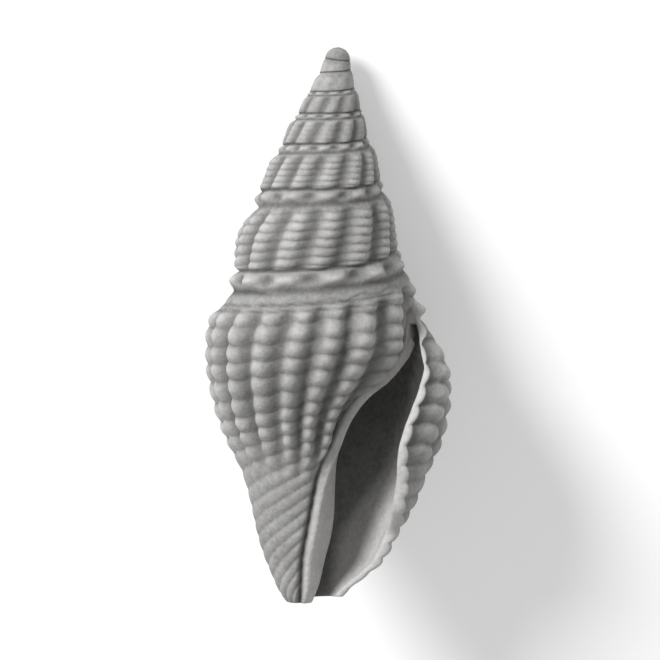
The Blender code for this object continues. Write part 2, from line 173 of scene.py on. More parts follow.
# %% Ribs and knobs
RIB_COUNT = [(1.5, -37.0), (3.257, -22.0), (4.272, -12.0), (5.245, 0.0), (6.16, 12.0),
             (6.395, 15.0), (7.014, 26.0), (7.203, 29.0), (7.375, 32.0), (8.014, 43.5)]
KNOB_COUNT = [(1.5, -37.0), (3.245, -22.0), (4.26, -12.0), (5.26, 0.0), (6.145, 12.0),
              (6.43, 15.0), (7.12, 23.0), (7.40, 26.0), (8.014, 33.0)]
RIB_RELIEF = 0.60
KNOB_RELIEF = 0.66
GROOVE_DEPTH = 0.15
RIB_STRAYS = 0.05
STRAYS_PER_TURN = 4.3
RIB_SHARPNESS = 2.5
KNOBS_AT, KNOBS_WIDE, COLLAR_WIDE = 0.10, 0.06, 0.07
GROOVE_AT, GROOVE_WIDE = 0.205, 0.04
RIBS_RISE = (0.20, 0.36)
SMOOTH_BAND, BAND_SETS_IN = 0.11, (6.95, 7.12)
RIBS_FADE = (24.5, 28.5)
RIBS_SET_IN = (2.0, 3.6)
SIZE_RADIUS = 5.0


def rib_wave(count):
    """1 on a rib's crest and 0 in the groove beside it: one less the sine's size to a
    power, so ribs are wide and grooves narrow."""
    return 1.0 - np.abs(np.sin(math.pi * count)) ** RIB_SHARPNESS


# %% [markdown]
# Fine cords run along the spiral and cross the ribs. Counting them makes the pattern exact:
# a whole number lies on a cord's crest, and a half in the groove between two. On the spire
# they lie a set distance below the seam. On the last winding they follow the seam too, but
# they rise to the right in front, steeper and steeper towards the canal.

# %% Cords
FRONT = 7.25
FIRST_CORD = [(1.5, 0.40), (3.25, 0.56), (4.25, 0.66), (5.25, 1.02), (6.25, 1.72), (7.0, 2.70)]
CORD_SPACING = [(1.5, 0.20), (3.25, 0.24), (4.25, 0.29), (5.25, 0.38), (6.25, 0.56), (7.0, 1.00)]
CORDS_SPREAD = (6.55, 7.014)
CREST_DOWNS = [16.6, 17.77, 18.93, 19.9, 21.0, 22.13, 23.1, 23.95, 24.85, 25.8, 26.8, 27.7, 28.6]
CREST_COUNT = ([(12.0, -4.0)] + [(down, k) for k, down in enumerate(CREST_DOWNS)] + [(40.0, 25.0)])
CORD_SLOPE = [(15.0, 1.5), (20.0, 2.0), (23.0, 3.2), (26.5, 4.8), (29.5, 6.5), (33.0, 7.5),
              (36.0, 8.0)]
CORD_SWAY = 0.45


def cord_count(turn, down):
    """Running count of the cords: on the spire the distance below the seam over their
    spacing; on the last winding a curve of the distance down, less the seam's own fall,
    less a slope times the turn from the front."""
    top = curve(turn, SUTURE_DOWN)
    on_spire = (down - top - curve(turn, FIRST_CORD)) / curve(turn, CORD_SPACING)
    sway = CORD_SWAY * np.tanh((turn - FRONT) / CORD_SWAY)
    level = down - (top - curve(FRONT, SUTURE_DOWN)) - curve(down, CORD_SLOPE) * sway
    on_body = curve(level, CREST_COUNT)
    return on_spire + (on_body - on_spire) * ramp(turn, *CORDS_SPREAD)


def cord_crest(count):
    """1 on a cord and 0 in the groove: one less the square of twice the distance to the
    nearest whole number, which gives rounded cords and narrow grooves."""
    away = np.abs(count - np.round(count))
    return 1.0 - (2.0 * away) ** 2


# %% [markdown]
# Along the pillar the snail lays a smooth coat over its ribs. Its left edge is a rounded
# ridge, the callus, with a groove beside it that is darkened with painted shade. Distances
# across it are arcs in millimetres, so the ridge keeps its width where the pillar gets thin.

# %% Callus and pillar strip
CALLUS_AT = [(17.2, 7.000), (18.05, 7.002), (18.85, 7.016), (19.95, 7.033), (21.16, 7.050),
             (22.1, 7.076), (23.07, 7.086), (24.3, 7.095), (25.4, 7.100), (26.5, 7.125),
             (28.45, 7.158), (31.13, 7.185), (33.19, 7.200), (36.0, 7.200)]
STRIP_EDGE = [(17.2, 7.015), (19.95, 7.046), (21.16, 7.064), (22.1, 7.090), (23.07, 7.100),
              (24.3, 7.112), (25.4, 7.128), (26.3, 7.155), (27.15, 7.168), (28.45, 7.182),
              (29.76, 7.193), (31.13, 7.207), (33.19, 7.226), (36.0, 7.226)]
CALLUS_HEIGHT = [(17.0, 0.15), (19.0, 0.42), (23.0, 0.42), (26.0, 0.24), (30.0, 0.14), (36.0, 0.10)]
CALLUS_WIDE = 0.27
STRIP_GROOVE = 0.26
STRIP_GROOVE_WIDE = 0.20
STRIP_GROOVE_BEYOND = 0.30
STRIP_ENDS_OVER = 0.5
STRIP_RISES = (15.9, 17.4)
STRIP_PALE = 0.8
CALLUS_PALE = 0.6


def arc(turn, radius, middle):
    """Distance round the winding from a middle turn, in millimetres."""
    return 2.0 * math.pi * radius * (turn - middle)


def strip_marks(turn, down, radius):
    """Relief of the callus and its groove, and 1 where the smooth strip covers the ribs."""
    shown = ramp(down, *STRIP_RISES)
    beyond = arc(turn, radius, curve(down, STRIP_EDGE))
    ridge = bump(arc(turn, radius, curve(down, CALLUS_AT)), 0.0, CALLUS_WIDE)
    groove = bump(beyond, STRIP_GROOVE_BEYOND, STRIP_GROOVE_WIDE)
    cover = (1.0 - ramp(beyond, 0.0, STRIP_ENDS_OVER)) * shown
    lift = (curve(down, CALLUS_HEIGHT) * ridge - STRIP_GROOVE * groove) * shown
    return lift, cover, ridge * shown, groove * shown


# %% Relief of a winding
CORD_RELIEF = 0.24
CORD_ON_RIB = 0.62
CORD_SAGS_ON_RIB = 0.10
CORD_LEVEL = 0.6
CORDS_START = (-0.75, -0.35)
COLLAR_AT_CANAL = 0.35
THREADS = [(2.2, 0.09), (2.6, 0.09)]
THREAD_DEPTH = 0.05
# Painted shade: how much darker the two threads are made.
THREAD_DARK = 0.6
CORDS_SET_IN = (3.4, 6.6)
# These marks also carry painted light: paler crests as painted highlight, darker valleys, seams and
# grooves as painted shade, and painted shadow and painted light in the mouth's hollow.
MARKS = ("rib", "cord", "cord_strength", "knob", "valley_shade", "seam", "pale", "inside")


def relief(turn, growth, down, fade):
    """Height of knobs, groove, ribs and cords, and the marks that the material reads.
    growth is the turn that ribs are counted by, because they lean as they go down. fade
    is the ribs' strength towards the canal."""
    top = curve(turn, SUTURE_DOWN)
    size = curve(turn, SUTURE_RADIUS) / SIZE_RADIUS * ramp(turn, *RIBS_SET_IN)
    f = (down - top) / curve(turn, WHORL_HEIGHT)
    strays = RIB_STRAYS * np.sin(2.0 * math.pi * STRAYS_PER_TURN * growth)
    ribs = curve(growth, RIB_COUNT) + strays
    wave = rib_wave(ribs)
    rise = ramp(f - SMOOTH_BAND * ramp(turn, *BAND_SETS_IN), *RIBS_RISE)
    row = bump(f, KNOBS_AT, KNOBS_WIDE)
    knob_wave = rib_wave(curve(turn, KNOB_COUNT))
    knobs = KNOB_RELIEF * row * (knob_wave - 0.5)
    groove = bump(f, GROOVE_AT, GROOVE_WIDE)
    collar = GROOVE_DEPTH * (0.5 * bump(f, KNOBS_AT, COLLAR_WIDE) - groove)
    count = cord_count(turn, down) + CORD_SAGS_ON_RIB * np.sin(2.0 * math.pi * ribs) * fade
    strength = ramp(count, *CORDS_START) * ramp(turn, *CORDS_SET_IN)
    mix = CORD_ON_RIB * wave * rise * fade + (1.0 - CORD_ON_RIB)
    cords = CORD_RELIEF * curve(turn, CORD_SPACING) * strength * mix * (cord_crest(count) - CORD_LEVEL)
    threads = sum(bump(down - top, at, wide) for at, wide in THREADS) * ramp(turn, *BAND_SETS_IN)
    near_seam = (knobs + collar) * (COLLAR_AT_CANAL + (1.0 - COLLAR_AT_CANAL) * fade)
    height = size * (RIB_RELIEF * rise * (wave - 0.5) * fade + near_seam)
    height = height + cords - THREAD_DEPTH * threads
    grown = ramp(turn, *RIBS_SET_IN)
    # The rib and knob marks are painted highlight on the crests.
    marks = {"rib": rise * wave * fade, "cord": count, "cord_strength": strength * mix,
             "knob": row * knob_wave * grown,
             # The valley mark is painted shade between ribs and between knobs.
             "valley_shade": (rise * fade * (1.0 - wave) + row * (1.0 - knob_wave)) * grown,
             # The seam mark is painted shade in the collar groove and along the threads.
             "seam": np.clip(groove * grown + THREAD_DARK * threads, 0.0, 1.0)}
    return height, marks


def pack_marks(shape, **marks):
    """The marks of a grid as one array: its last axis follows MARKS, and what isn't
    named is 0."""
    layers = [np.broadcast_to(marks.get(name, 0.0), shape) for name in MARKS]
    return np.stack(layers, axis=-1)


# %% [markdown]
# The spire and the top of the last winding are one long strip, wound from seam to seam. Its
# columns follow the slant of the ribs, so that a rib's crest never cuts across the grid.

# %% The wound strip
GROOVES_SET_IN = (1.5, 2.5)
LEAN_RESTS = (6.85, 7.15)
LEAN_ENDS = (7.75, 7.95)
RIB_LEAN_SPIRE = 0.035
RIB_LEAN_BODY = 0.0042
RIBS_STRAIGHT_FROM = 24.0
SUTURE_GAP = 0.014
SUTURE_WIDTH = 0.16
LINE_WIDTH = 0.13
SEAM_CLOSES_FROM = 7.85
# Painted shade: share of the collar groove's and threads' darkening that the strip keeps.
COLLAR_DARK = 0.7
STRIP_BLEND = 0.2
STRIP_ROWS = 40


def lean_window(turn):
    """1 where ribs lean, and 0 at the start, where the windings join and at the lip."""
    low, high = LEAN_RESTS
    join = 1 - ramp(turn, low, BODY_TURN) + ramp(turn, BODY_TURN, high)
    return ramp(turn, *GROOVES_SET_IN) * join * (1 - ramp(turn, *LEAN_ENDS))


def suture_gap(turn):
    """Half of the narrow step at the seam, closed at the apex and at the lip."""
    open_part = ramp(turn, *GROOVES_SET_IN) * (1 - ramp(turn, LEAN_ENDS[1], LIP_TURN))
    return SUTURE_GAP * curve(turn, SUTURE_RADIUS) * open_part


def strip_surface(columns, start):
    """Points and marks of the strip: f runs from the upper seam to the lower one. From the
    column called start on, its lower edge is the level ring where the seam meets the lip."""
    turn = columns[None, :]
    f = np.linspace(0.0, 1.0, STRIP_ROWS + 1)[:, None]
    last = turn >= columns[start]
    real = turn + RIB_LEAN_SPIRE * (f - 1) * lean_window(turn)
    top = curve(real, SUTURE_DOWN)
    bottom = np.where(last, RING, curve(real + 1.0, SUTURE_DOWN))
    high = top + suture_gap(real)
    low = bottom - np.where(last, 0.0, suture_gap(real + 1.0))
    down = high + (low - high) * f
    r_top = curve(real, SUTURE_RADIUS)
    r_bottom = np.where(last, body_radius(real, RING), curve(real + 1.0, SUTURE_RADIUS))
    share = bulge(real, f)
    share = share + (f - share) * ramp(turn, BODY_TURN, BODY_TURN + STRIP_BLEND)
    height, marks = relief(real, turn, down, 1.0)
    radius = r_top + (r_bottom - r_top) * share + height
    upper = bump(down, top, SUTURE_WIDTH)
    lower = np.where(last, 0.0, bump(down, bottom, SUTURE_WIDTH))
    depth = GROOVE_DEPTH * r_top / SIZE_RADIUS * ramp(real, *GROOVES_SET_IN)
    closing = 1 - ramp(real, SEAM_CLOSES_FROM, LIP_TURN)
    radius = radius - depth * (upper + lower) * closing
    wide = LINE_WIDTH * np.sqrt(r_top / SIZE_RADIUS)
    # Painted shade: a dark line along each seam, where the groove between windings lies.
    line = bump(down, top, wide) + np.where(last, 0.0, bump(down, bottom, wide))
    marks["seam"] = np.clip(marks["seam"] * COLLAR_DARK + line * closing, 0.0, 1.0)
    return place(real, down, radius), pack_marks(real.shape, **marks)


# %% [markdown]
# Below the ring the last winding is a plain grid of turn and distance down. It starts at the
# pillar and ends at the lip. Near the lip its columns bend to follow the lip's edge.

# %% The last winding's wall
HOLLOW_TOP = 17.45
CLOSED_COUNT = 11
OPEN_COUNT = 118
ROW_CROWDING = 0.97
CANAL_END = [(6.8, 35.45), (7.014, 36.0), (7.5, 36.0), (7.7, 35.55), (7.84, 35.25), (8.014, 35.6)]
LIP_CURVES_FROM = 7.72
RIBS_START_ON_BODY = (7.014, 7.07)
START_FADES_IN = (15.68, 17.2)
LIP_ROUGHENS = (7.90, 8.0)
LIP_LUMP = 0.16
LUMPS_END = (33.0, 35.0)


def body_surface(columns, downs):
    """Points and marks of the outer wall, one row for each distance down, and what its
    hollow starts from: the rows' distances down at both ends, and the radius of the lip
    with its lumps and without."""
    turn = columns[None, :]
    f = downs[:, None]
    end = curve(turn, CANAL_END)
    stretch = (f - HOLLOW_TOP) * (end - HOLLOW_TOP) / (LENGTH - HOLLOW_TOP)
    down = np.where(f > HOLLOW_TOP, HOLLOW_TOP + stretch, f)
    leaning = np.minimum(down, RIBS_STRAIGHT_FROM) - RING
    real = turn + RIB_LEAN_BODY * leaning * lean_window(turn)
    real = real + (lip_turn(down) - LIP_TURN) * ramp(turn, LIP_CURVES_FROM, LIP_TURN)
    plain = body_radius(real, down)
    lift, cover, ridge, groove = strip_marks(real, down, plain)
    start_fade = 1 - (1 - ramp(turn, *RIBS_START_ON_BODY)) * ramp(down, *START_FADES_IN)
    ribs = (1 - ramp(down, *RIBS_FADE)) * (1 - cover)
    clipped = np.clip(real, 7.0, LIP_TURN)
    height, marks = relief(clipped, turn, down, ribs)
    lumps = LIP_LUMP * ramp(turn, *LIP_ROUGHENS) * (cord_crest(marks["cord"]) - 0.5)
    free = (1 - cover) * start_fade
    radius = plain + (height + lumps * (1 - ramp(down, *LUMPS_END))) * free + lift
    marks["cord_strength"] = marks["cord_strength"] * free
    marks["rib"] = marks["rib"] * start_fade
    marks["valley_shade"] = marks["valley_shade"] * free
    # Painted shade: the groove beside the callus is darkened.
    marks["seam"] = np.clip(marks["seam"] * free + groove, 0.0, 1.0)
    marks["pale"] = np.clip(STRIP_PALE * cover + CALLUS_PALE * ridge, 0.0, 1.0)
    ends = down[:, 0], down[:, -1], radius[:, -1], plain[:, -1]
    return place(real, down, radius), pack_marks(real.shape, **marks), ends


# %% [markdown]
# The mouth is a real hollow. From the lip's edge the surface turns round the rim, runs back
# within the mouth along the wall, round the hollow's end and out again along the pillar. The
# hollow's wall is made pale near the lip as painted light and dark further left as painted
# shadow, so a line between the two is kept as a mark.

# %% Rim and hollow
LIP_THICKNESS = [(17.4, 0.52), (19.0, 0.58), (21.5, 0.85), (25.0, 1.0), (29.0, 0.9),
                 (32.0, 0.75), (35.5, 0.55)]
HOLLOW_END = [(17.4, 6.70), (20.0, 6.62), (29.0, 6.62), (34.0, 6.80), (36.1, 6.85)]
RIM_FADE = 0.3
RIM_BULGE = 0.3
RIM_COLUMNS = 7
WALL_COLUMNS = 30
CAP_COLUMNS = 8
# Painted shadow in the mouth: the wall is darkened left of this line, with an edge this soft.
SHADOW_LEFT_OF = [(17.5, 6.5), (20.3, 6.3), (22.8, 6.0), (25.6, 5.5), (27.7, 4.7), (29.8, 3.4),
                (31.5, 2.4), (33.5, 1.9), (36.0, 1.7)]
SHADOW_EDGE_SOFT = [(17.5, 0.3), (25.6, 0.5), (29.8, 1.3), (36.0, 1.0)]
PILLAR_SHADE_DEEPENS = (0.1, 0.9)


def hollow_surface(start_down, lip_down, lip_radius, plain_radius):
    """Points and marks of the rim and the hollow. The rim is a half circle of the lip's
    thickness. Wall and pillar follow the last winding's own formula, a thickness within.
    The hollow gets painted shadow left of a line that swings from the lip towards the canal,
    and painted light on the wall right of it."""
    inner_turn = lip_turn(lip_down)
    thickness = curve(lip_down, LIP_THICKNESS)
    swing = np.pi * np.arange(1, RIM_COLUMNS)[None, :] / RIM_COLUMNS
    turned = (1 - np.cos(swing)) / 2
    rim_inner = (plain_radius - thickness)[:, None]
    rim_radius = lip_radius[:, None] + (rim_inner - lip_radius[:, None]) * turned
    advance = RIM_BULGE * thickness[:, None] * np.sin(swing) / (2 * math.pi * rim_radius)
    rim_down = np.broadcast_to(lip_down[:, None], rim_radius.shape)
    rim = place(inner_turn[:, None] + advance, rim_down, rim_radius)
    steps = np.linspace(0.0, 1.0, WALL_COLUMNS + 1)[None, :]
    wall_end = curve(lip_down, HOLLOW_END) + 1.0
    wall_turn = inner_turn[:, None] + (wall_end - inner_turn)[:, None] * steps
    wall_down = lip_down[:, None] + ((start_down + lip_down) / 2 - lip_down)[:, None] * steps
    mouth = body_radius(wall_turn, wall_down) - curve(wall_down, LIP_THICKNESS)
    wall_radius = mouth + (rim_inner - mouth[:, :1]) * (1 - ramp(steps, 0.0, RIM_FADE))
    pillar_turn = (wall_end - 1.0)[:, None] + (LIP_TURN - wall_end)[:, None] * steps
    pillar_down = wall_down[:, ::-1] + (start_down - lip_down)[:, None] * steps
    pillar_plain = body_radius(pillar_turn, pillar_down)
    lift, cover, ridge, groove = strip_marks(pillar_turn, pillar_down, pillar_plain)
    pillar_radius = pillar_plain + lift
    outer_end = wall_radius[:, -1]
    inner_end = pillar_radius[:, 0]
    swing = np.linspace(0.0, math.pi, CAP_COLUMNS + 1)[None, 1:-1]
    middle = ((outer_end + inner_end) / 2)[:, None]
    half = ((outer_end - inner_end) / 2)[:, None]
    cap_radius = middle + half * np.cos(swing)
    cap_turn = pillar_turn[:, :1] - half * np.sin(swing) / (2 * math.pi * middle)
    cap_down = np.broadcast_to(pillar_down[:, :1], cap_radius.shape)
    wall = place(wall_turn, wall_down, wall_radius)
    points = np.concatenate((rim, wall, place(cap_turn, cap_down, cap_radius),
                             place(pillar_turn, pillar_down, pillar_radius)[:, :-1]), axis=1)
    soft = curve(wall_down, SHADOW_EDGE_SOFT)
    right_of = wall[..., 0] - curve(wall_down, SHADOW_LEFT_OF)
    wall_shadow = 1.0 - ramp(right_of / soft, -0.5, 0.5)
    # Painted shade: the pillar is darkened the deeper it runs into the hollow.
    into_pillar = 2 * math.pi * pillar_radius * (BODY_TURN - pillar_turn)
    pillar_shade = ramp(into_pillar, *PILLAR_SHADE_DEEPENS)
    marks = np.concatenate((
        pack_marks(rim_radius.shape, pale=1.0),
        # Painted light: right of the shadow line the hollow's wall is made pale.
        pack_marks(wall_radius.shape, inside=wall_shadow, pale=1.0 - wall_shadow),
        pack_marks(cap_radius.shape, inside=1.0),
        # Painted shade: the groove beside the callus is darkened on the pillar too.
        pack_marks(pillar_radius.shape, inside=pillar_shade, seam=groove,
                   pale=np.clip(STRIP_PALE * cover + CALLUS_PALE * ridge, 0.0, 1.0))[:, :-1]), axis=1)
    return points, marks


# %% [markdown]
# Grids are joined by shared vertices, not by pushing edges together, so that the shell is
# one closed surface. Where two borders have unlike numbers of vertices, a zip of triangles
# takes them in the order of their positions.

# %% Faces
def drop_empty(faces):
    """Leaves out triangles that use a vertex twice."""
    a, b, c = faces.T
    return faces[(a != b) & (b != c) & (a != c)]


def grid_faces(index):
    """Two triangles for each cell of a grid of vertex numbers."""
    a, b = index[:-1, :-1].ravel(), index[:-1, 1:].ravel()
    c, d = index[1:, 1:].ravel(), index[1:, :-1].ravel()
    return drop_empty(np.concatenate((np.stack((a, b, c), 1), np.stack((a, c, d), 1))))


def zip_faces(upper, upper_at, lower, lower_at):
    """Triangles between two borders, taken in the order of their positions."""
    j = np.searchsorted(lower_at[1:], upper_at[1:], side="left")
    i = np.searchsorted(upper_at[1:], lower_at[1:], side="right")
    first = np.stack((upper[:-1], upper[1:], lower[j]), 1)
    second = np.stack((lower[1:], lower[:-1], upper[i]), 1)
    return drop_empty(np.concatenate((first, second)))


class Sheet:
    """Collects grids of points and marks and hands out their vertex numbers."""

    def __init__(self):
        self.points = []
        self.marks = []
        self.faces = []
        self.used = 0

    def add(self, points, marks):
        """Adds a grid and gives its vertex numbers in the same grid form."""
        shape = points.shape[:2]
        self.points.append(points.reshape(-1, 3))
        self.marks.append(marks.reshape(-1, len(MARKS)))
        index = self.used + np.arange(shape[0] * shape[1]).reshape(shape)
        self.used += shape[0] * shape[1]
        return index


# %% The spire and its apex
COLUMNS_PER_TURN = [(0.5, 1.5, 60), (1.5, 3.2, 90), (3.2, 5.2, 150), (5.2, BODY_TURN, 230),
                    (BODY_TURN, LIP_TURN, 300)]
APEX_ROWS = 9
APEX_ROUNDNESS = 0.55

columns = np.concatenate([np.linspace(low, high, round((high - low) * per_turn) + 1)[:-1]
                          for low, high, per_turn in COLUMNS_PER_TURN] + [[LIP_TURN]])
first = int(np.argmin(np.abs(columns - SUTURE_START)))
start = int(np.argmin(np.abs(columns - BODY_TURN)))
sheet = Sheet()
index = sheet.add(*strip_surface(columns, start))
apex_join = index[0, 0]
lip_join = index[-1, start]
index[:, 0] = apex_join
index[0, first] = apex_join
index[:, -1] = lip_join
sheet.faces.append(grid_faces(index))
top_at = columns[first:] - RIB_LEAN_SPIRE * lean_window(columns[first:])
sheet.faces.append(zip_faces(index[-1, :start + 1], columns[:start + 1] + 1.0,
                             index[0, first:], np.maximum.accumulate(top_at)))
ring = index[0, :first + 1]
level = SUTURE_DOWN[0][1]
tall = level * (1 - np.arange(1, APEX_ROWS) / APEX_ROWS)[:, None]
dome = SUTURE_RADIUS[0][1] * (1 - (1 - tall / level) ** 2) ** APEX_ROUNDNESS
rings = place(columns[None, :first], tall, dome)
ring_index = sheet.add(rings, pack_marks(rings.shape[:2]))
ring_index = np.concatenate((ring_index, ring_index[:, :1]), axis=1)
pole = sheet.add(place(np.zeros((1, 1)), np.zeros((1, 1)), np.zeros((1, 1))), pack_marks((1, 1)))
pole_row = np.full((1, first + 1), pole[0, 0])
sheet.faces.append(grid_faces(np.concatenate((pole_row, ring_index[::-1], ring[None, :]))))
print("spire:", len(columns), "columns of", STRIP_ROWS + 1, "rows")

# %% The last winding, its rim and its hollow
shares = np.linspace(0, 1, OPEN_COUNT + 1) ** ROW_CROWDING
downs = np.concatenate((np.linspace(RING, HOLLOW_TOP, CLOSED_COUNT + 2)[1:-1],
                        HOLLOW_TOP + (LENGTH - HOLLOW_TOP) * shares))
body, body_marks, ends = body_surface(columns[start:], downs)
body_index = sheet.add(body, body_marks)
sheet.faces.append(grid_faces(np.concatenate((index[-1:, start:], body_index))))
inside_index = sheet.add(*hollow_surface(*ends))
pillar_edge = body_index[:, :1]
lip_edge = body_index[:, -1:]
rim = RIM_COLUMNS - 1
face_rows = np.concatenate((lip_edge, inside_index[:, :rim + 1]), axis=1)
face_rows[:CLOSED_COUNT, -1] = pillar_edge[:CLOSED_COUNT, 0]
face_rows = np.concatenate((np.full((1, rim + 2), lip_join), face_rows))
sheet.faces.append(grid_faces(face_rows))
sheet.faces.append(np.array([[pillar_edge[CLOSED_COUNT - 1, 0], face_rows[CLOSED_COUNT + 1, -1],
                              pillar_edge[CLOSED_COUNT, 0]]]))
hollow = np.concatenate((inside_index[CLOSED_COUNT:, rim:], pillar_edge[CLOSED_COUNT:]), axis=1)
sheet.faces.append(grid_faces(hollow))
half = hollow.shape[1] // 2
sheet.faces.append(grid_faces(np.stack((hollow[0, :half + 1], hollow[0, ::-1][:half + 1]))))
chain = np.concatenate((hollow[-1, ::-1], inside_index[-1, :rim][::-1], lip_edge[-1]))
end_turn = curve(np.array([LENGTH]), HOLLOW_END)[0] + 1.0
inner_count = WALL_COLUMNS + CAP_COLUMNS
chain_at = np.concatenate((np.linspace(BODY_TURN, end_turn, inner_count + 1),
                           np.linspace(end_turn, LIP_TURN, len(chain) - inner_count)[1:]))
sheet.faces.append(zip_faces(body_index[-1], columns[start:], chain, chain_at))
print("last winding:", len(downs), "rows of", len(columns) - start, "columns")

# %% [markdown]
# The shell lies on its back and dips a little towards the apex, as it comes to rest on a
# table. The same turn and shift as in the CAD model put the fine surface in its frame. What
# would lie under the table is pressed flat, which is the small flat that the CAD cuts.

# %% Put the shell in its frame
DIP_DEGREES = 16.5
FRAME_SHIFT = (0.66479, -17.34756, -1.23100)


def into_frame(points):
    """Turns points in millimetres down by the dip about the x axis, shifts them by the
    CAD model's own shift and gives metres."""
    dip = math.radians(DIP_DEGREES)
    turn_down = np.array([[1, 0, 0], [0, math.cos(dip), math.sin(dip)],
                          [0, -math.sin(dip), math.cos(dip)]])
    return (points @ turn_down.T - np.array(FRAME_SHIFT)) * MM


points = into_frame(np.concatenate(sheet.points))
points[:, 2] = np.maximum(points[:, 2], 0.0)
marks = np.concatenate(sheet.marks)
faces = np.concatenate(sheet.faces)
print("shell:", len(points), "points,", len(faces), "triangles")

# %% Make the mesh
used = np.unique(faces)
renumber = np.zeros(len(points), dtype=int)
renumber[used] = np.arange(len(used))
mesh = bpy.data.meshes.new("shell_fine")
mesh.from_pydata(points[used].tolist(), [], renumber[faces].tolist())
for name, values in zip(MARKS, marks[used].T):
    layer = mesh.attributes.new(name, "FLOAT", "POINT")
    layer.data.foreach_set("value", np.ascontiguousarray(values, dtype=np.float32))
form = bmesh.new()
form.from_mesh(mesh)
bmesh.ops.recalc_face_normals(form, faces=form.faces)
open_edges = sum(not edge.is_manifold for edge in form.edges)
volume = form.calc_volume(signed=True)
form.to_mesh(mesh)
form.free()
mesh.shade_smooth()
shell = bpy.data.objects.new("shell_fine", mesh)
bpy.context.scene.collection.objects.link(shell)
print("open edges:", open_edges, "volume in cubic mm:", round(volume / MM ** 3, 1))

# %% [markdown]
# The material is stone, so it has no gloss to speak of. Its tone is paler on the crests of
# ribs, knobs and cords, which is painted highlight, and darker in grooves, valleys and seams,
# which is painted shade. It is also mottled over larger spots and pitted like chalk. Small sums
# on sockets say this best, so one class turns Python's own signs into maths nodes.

# %% A socket that can be added and multiplied
class Tone:
    """A number that varies over the surface: wraps the socket that gives it."""

    def __init__(self, nodes, socket):
        self.nodes = nodes
        self.socket = socket

    def node(self, kind, settings=None, sockets=None, output=0):
        """Adds a node: sets its settings first, then its sockets to values or links."""
        made = self.nodes.new(kind)
        for name, value in (settings or {}).items():
            setattr(made, name, value)
        for name, value in (sockets or {}).items():
            if isinstance(value, Tone):
                made.id_data.links.new(value.socket, made.inputs[name])
            else:
                made.inputs[name].default_value = value
        return Tone(self.nodes, made.outputs[output])

    def maths(self, operation, first, second=0.0, clamp=False):
        """One Math node on one or two numbers."""
        settings = {"operation": operation, "use_clamp": clamp}
        return self.node("ShaderNodeMath", settings, {0: first, 1: second})

    def __add__(self, other):
        return self.maths("ADD", self, other)

    def __sub__(self, other):
        return self.maths("SUBTRACT", self, other)

    def __rsub__(self, other):
        return self.maths("SUBTRACT", other, self)

    def __mul__(self, other):
        return self.maths("MULTIPLY", self, other)

    def __pow__(self, other):
        return self.maths("POWER", self, other)

    __radd__ = __add__
    __rmul__ = __mul__

    def clamped(self):
        """The same number, kept between 0 and 1."""
        return self.maths("ADD", self, 0.0, clamp=True)


# %% Start the stone
stone = bpy.data.materials.new("fossil_stone")
stone.use_nodes = True
tree = stone.node_tree
shader = tree.nodes["Principled BSDF"]
base = Tone(tree.nodes, None)


def mark(name):
    """The mark of that name, read from the mesh."""
    return base.node("ShaderNodeAttribute", {"attribute_name": name}, output=2)


def noise(scale, detail=2.0, rough=0.5, vector=None):
    """Noise in the object's own metres, from 0 to 1 with a mean of a half."""
    sockets = {"Vector": vector or place_on_shell, "Scale": scale, "Detail": detail,
               "Roughness": rough}
    return base.node("ShaderNodeTexNoise", {"noise_dimensions": "3D"}, sockets)


place_on_shell = base.node("ShaderNodeTexCoord", output=3)
rib, cord, cord_strength = mark("rib"), mark("cord"), mark("cord_strength")
knob, seam, pale, inside = mark("knob"), mark("seam"), mark("pale"), mark("inside")
valley_shade = mark("valley_shade")

# %% [markdown]
# The cords' count comes from the mesh, so the shader can draw the grooves between them much
# sharper than the grid: the distance to the nearest whole number, raised to a power.

# %% Tone of the stone
SPOT_SCALE = 420.0
SPECK_SCALE = 2600.0
GRAIN_SCALE = 7000.0

between = base.maths("PINGPONG", cord, 0.5) * 2.0
# The cord grooves are darkened as painted shade; the same mask also sinks the bump.
cord_groove = (between ** 3.0) * cord_strength
cord_highlight = (1.0 - between ** 2.0) * cord_strength
spots = noise(SPOT_SCALE, 3.0, 0.6)
specks = noise(SPECK_SCALE, 3.0, 0.65)
grain = noise(GRAIN_SCALE, 2.0, 0.7)
plain_tone = 0.30 + 0.20 * (spots - 0.5) + 0.26 * (specks - 0.5) + 0.12 * (grain - 0.5)
# Painted highlight: crests of ribs, cords and knobs are made paler, as where light falls on them.
crest_lit = plain_tone + 0.07 * rib + 0.08 * cord_highlight + 0.15 * knob
# The pale mark holds the polished strip's and callus's own paler tone, and painted light on the
# hollow's wall.
crest_lit_and_pale = crest_lit + 0.24 * pale
# Painted shade: cord grooves, seams and grooves, and the valleys between ribs and knobs are darkened.
groove_shaded = crest_lit_and_pale * (1.0 - 0.34 * cord_groove) * (1.0 - 0.72 * seam) * (1.0 - 0.50 * valley_shade ** 1.5)
# Painted shadow darkens the mouth's hollow: its wall left of the line, its end and the pillar deep in
# it.
tone = (groove_shaded * (1.0 - 0.25 * inside)).clamped()
colour = base.node("ShaderNodeCombineColor", {"mode": "RGB"},
                   {"Red": tone, "Green": tone * 0.99, "Blue": tone * 0.97})
tree.links.new(colour.socket, shader.inputs["Base Color"])

# %% Roughness and fine relief of the stone
PIT_SCALE = 3600.0
DENT_SCALE = 1100.0

